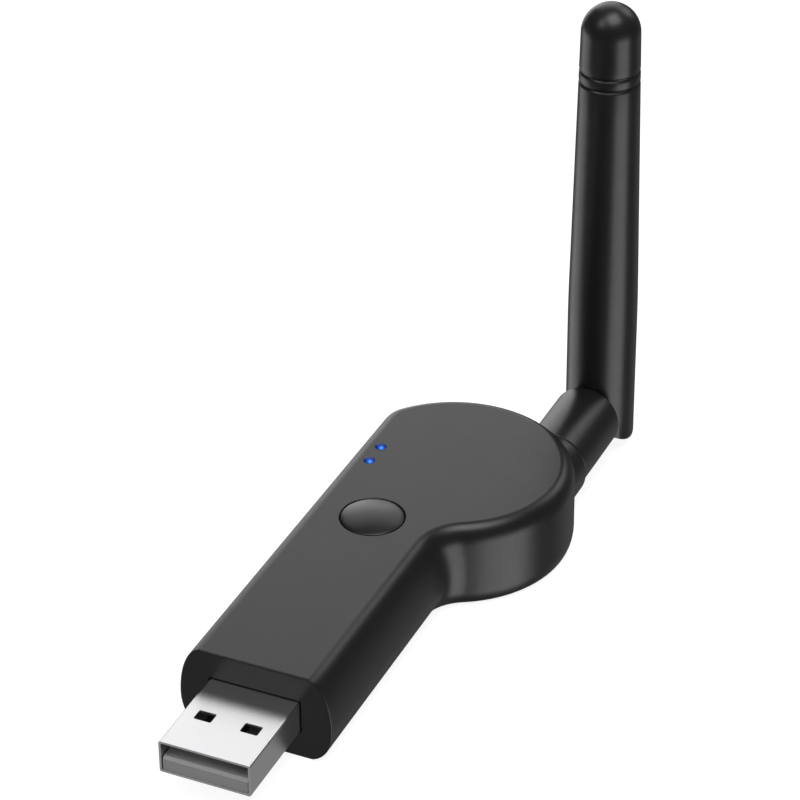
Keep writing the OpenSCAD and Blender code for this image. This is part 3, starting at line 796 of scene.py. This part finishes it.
# Right and up as the camera sees them
TO_RIGHT = Vector((math.cos(VIEW_SIDE), math.sin(VIEW_SIDE), 0))
TO_TOP = TO_CAMERA.cross(TO_RIGHT)


def make_floor():
    """Pale floor just below the object. It takes soft shadows and throws nothing back."""
    material, tree, shader = node_material("pale_floor")
    tone = ramp(tree, noise(tree, 40), 0.3, 0.31)
    tree.links.new(tone, shader.inputs["Base Color"])
    shader.inputs["Roughness"].default_value = 0.9
    shader.inputs["Specular IOR Level"].default_value = 0.0
    shader.inputs["Emission Color"].default_value = (1, 1, 1, 1)
    shader.inputs["Emission Strength"].default_value = 0.88
    half, drop = 0.6, 0.02
    z = (HOUSING_LO.z - drop) * MM
    corners = [(-half, -half, z), (half, -half, z), (half, half, z), (-half, half, z)]
    obj = solid("floor", corners, [(0, 1, 2, 3)])
    obj.data.materials.append(material)
    obj.visible_diffuse = obj.visible_glossy = obj.visible_shadow = False


def make_camera():
    """Camera at the photograph's angle, aimed between the body and the whip."""
    target = Vector((0.0015, 0.0394, 0.0207))
    distance = 0.4
    data = bpy.data.cameras.new("camera")
    data.lens = 143.4
    data.sensor_width = 36
    data.clip_start, data.clip_end = 0.01, 20
    camera = bpy.data.objects.new("camera", data)
    camera.location = target + TO_CAMERA * distance
    turn = (-TO_CAMERA).to_track_quat("-Z", "Y").to_matrix().to_4x4()
    camera.rotation_euler = (turn @ Matrix.Rotation(VIEW_ROLL, 4, "Z")).to_euler()
    bpy.context.scene.collection.objects.link(camera)
    bpy.context.scene.camera = camera


def on_whip(across):
    """Normal of the upright whip at this part of its radius, right of its middle."""
    facing = Vector((TO_CAMERA.x, TO_CAMERA.y, 0)).normalized()
    return facing * math.sqrt(1 - across**2) + TO_RIGHT * across


def on_dome(across, up):
    """Normal of the whip's dome at these parts of its radius, right of and above its middle."""
    towards = math.sqrt(1 - across**2 - up**2)
    return TO_RIGHT * across + TO_TOP * up + TO_CAMERA * towards


def on_side(tilt):
    """Normal of the bar's rounded side, this many degrees right of straight up."""
    return Vector((math.sin(math.radians(tilt)), 0, math.cos(math.radians(tilt))))


# Soft boxes round the object: name, normal of a surface, side in metres, radiance. Each stands
# where the camera sees it mirrored in that surface. Upright surfaces mirror what is below the
# horizon, as on a light table.
ROOF, RIGHT_WALL = on_side(0), on_side(90)
FRONT, TONGUE_CHAMFER = Vector((0, -1, 0)), Vector((0, -1, 1))
SOFT_BOXES = (
    ("roof_sheen", ROOF, 0.7, 1.15),
    ("backdrop", on_dome(-0.08, 0.92), 0.5, 0.8),
    ("key", on_dome(0.07, 0.37), 0.7, 4.2),
    ("table_right", on_whip(0.4), 0.8, 2.4),
    ("table_left", on_whip(-0.84), 0.8, 1.5),
    ("table_front", FRONT, 0.6, 0.2),
    ("table_back", RIGHT_WALL, 0.6, 0.14),
    ("front_high", TONGUE_CHAMFER, 0.4, 2.8),
    ("band_right", on_side(30), 0.5, 1.8),
    ("band_left", on_side(-30), 0.5, 1.2),
)
BOX_DISTANCE = 1.0
LIT_MIDDLE = Vector((0.004, 0.04, 0.015))


def soft_box(name, normal, side, radiance):
    """Square area light that faces the object's middle and isn't itself seen."""
    normal = normal.normalized()
    outward = 2 * normal.dot(TO_CAMERA) * normal - TO_CAMERA
    data = bpy.data.lights.new(name, "AREA")
    data.shape = "SQUARE"
    data.size = side
    data.energy = radiance * math.pi * side**2
    light = bpy.data.objects.new(name, data)
    light.location = LIT_MIDDLE + outward * BOX_DISTANCE
    light.rotation_euler = (-outward).to_track_quat("-Z", "Y").to_euler()
    light.visible_camera = False
    bpy.context.scene.collection.objects.link(light)


def make_studio():
    """Soft boxes, and a backdrop that is white to the eye but hardly lights the object."""
    for row in SOFT_BOXES:
        soft_box(*row)
    world = bpy.data.worlds.new("studio")
    world.use_nodes = True
    tree = world.node_tree
    backdrop = tree.nodes["Background"]
    backdrop.inputs["Color"].default_value = (1, 1, 1, 1)
    fill = tree.nodes.new("ShaderNodeBackground")
    fill_level = 0.12
    fill.inputs["Color"].default_value = (fill_level, fill_level, fill_level, 1)
    path = tree.nodes.new("ShaderNodeLightPath")
    either = tree.nodes.new("ShaderNodeMixShader")
    tree.links.new(path.outputs["Is Camera Ray"], either.inputs[0])
    tree.links.new(fill.outputs[0], either.inputs[1])
    tree.links.new(backdrop.outputs[0], either.inputs[2])
    tree.links.new(either.outputs[0], tree.nodes["World Output"].inputs["Surface"])
    bpy.context.scene.world = world
    bpy.context.scene.view_settings.view_transform = "Standard"


# ---- Build ----

materials = make_materials()
make_camera()
make_studio()
make_floor()

# Every CAD node wears its slot's material; the pieces made below replace nine of them
for part in frame["record"]["subparts"]:
    node = frame["nodes"][part["node"]]
    node.data.materials.clear()
    node.data.materials.append(materials[part["material_slot"]])

make_housing(materials["housing_plastic"])
make_bottom_cover(materials["housing_plastic"])
make_button(materials["button_plastic"])
make_light_pipe(materials["light_pipe"])
make_usb_shell(materials["plug_steel"])
make_usb_tongue(materials["tongue_plastic"])
make_barrel(materials["antenna_plastic"])
make_sleeve(materials["antenna_plastic"])
make_tip(materials["antenna_plastic"])
